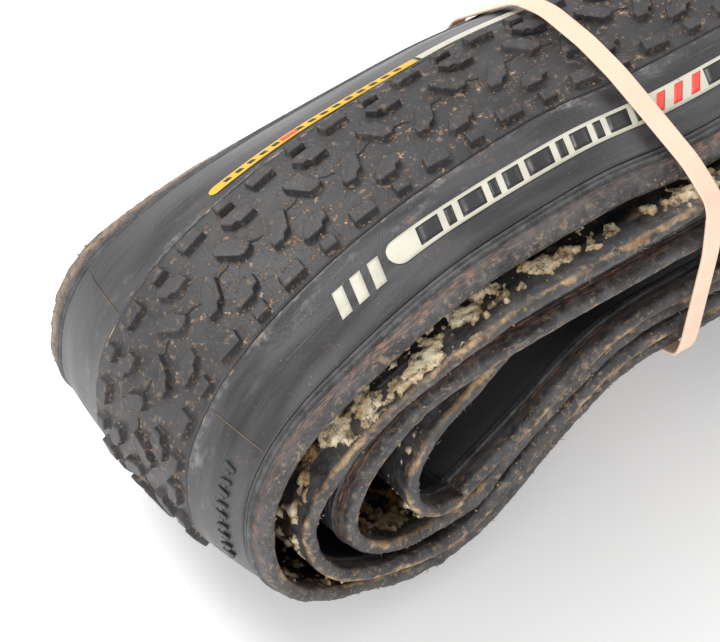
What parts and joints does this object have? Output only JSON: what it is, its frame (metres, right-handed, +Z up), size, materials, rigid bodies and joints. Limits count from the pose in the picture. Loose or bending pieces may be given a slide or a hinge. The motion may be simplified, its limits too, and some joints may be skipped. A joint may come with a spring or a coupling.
{
  "type": "folding bicycle tire",
  "caption": "Folding-bead bicycle tire with a low knobbly tread, pressed flat, rolled into an oval bundle and held at its waist by a flat rubber band.",
  "frame": {"origin": "centre of the bottom of the bundle's box, on the surface it lies on", "axes": "+X along the rolled bundle, +Y across the strands from the near side to the far side, +Z up"},
  "size_m": [0.2604, 0.1012, 0.1084],
  "materials": {
    "tread_rubber": "worn matt black tread rubber with dirt between the knobs",
    "sidewall_rubber": "smooth dark grey sidewall rubber",
    "chafer_rubber": "dusty ribbed bead rubber",
    "casing_fabric": "rubberised cord ply",
    "belt_fabric": "rubberised woven belt",
    "aramid_cord": "bundle of bare yellow cord",
    "liner_rubber": "smooth airtight liner with flakes of dried sealant",
    "pale_transfer": "worn cream transfer",
    "yellow_transfer": "worn yellow transfer",
    "band_rubber": "smooth peach-pink latex"
  },
  "bodies": {
    "tire": {"tread_cap": "tread_rubber", "sidewall_near": "sidewall_rubber", "sidewall_far": "sidewall_rubber", "bead_chafer_near": "chafer_rubber", "bead_chafer_far": "chafer_rubber", "casing_ply": "casing_fabric", "breaker_belt": "belt_fabric", "bead_core_near": "aramid_cord", "bead_core_far": "aramid_cord", "inner_liner": "liner_rubber", "label_strip_near": "pale_transfer", "emblem_near": "pale_transfer", "label_strip_far": "yellow_transfer"},
    "band": {"rubber_band": "band_rubber"}
  },
  "joints": [
    {"name": "band_slide", "type": "slide", "parent": "tire", "child": "band", "axis": [1, 0, 0], "range_m": [-0.005, 0.005]}
  ]
}
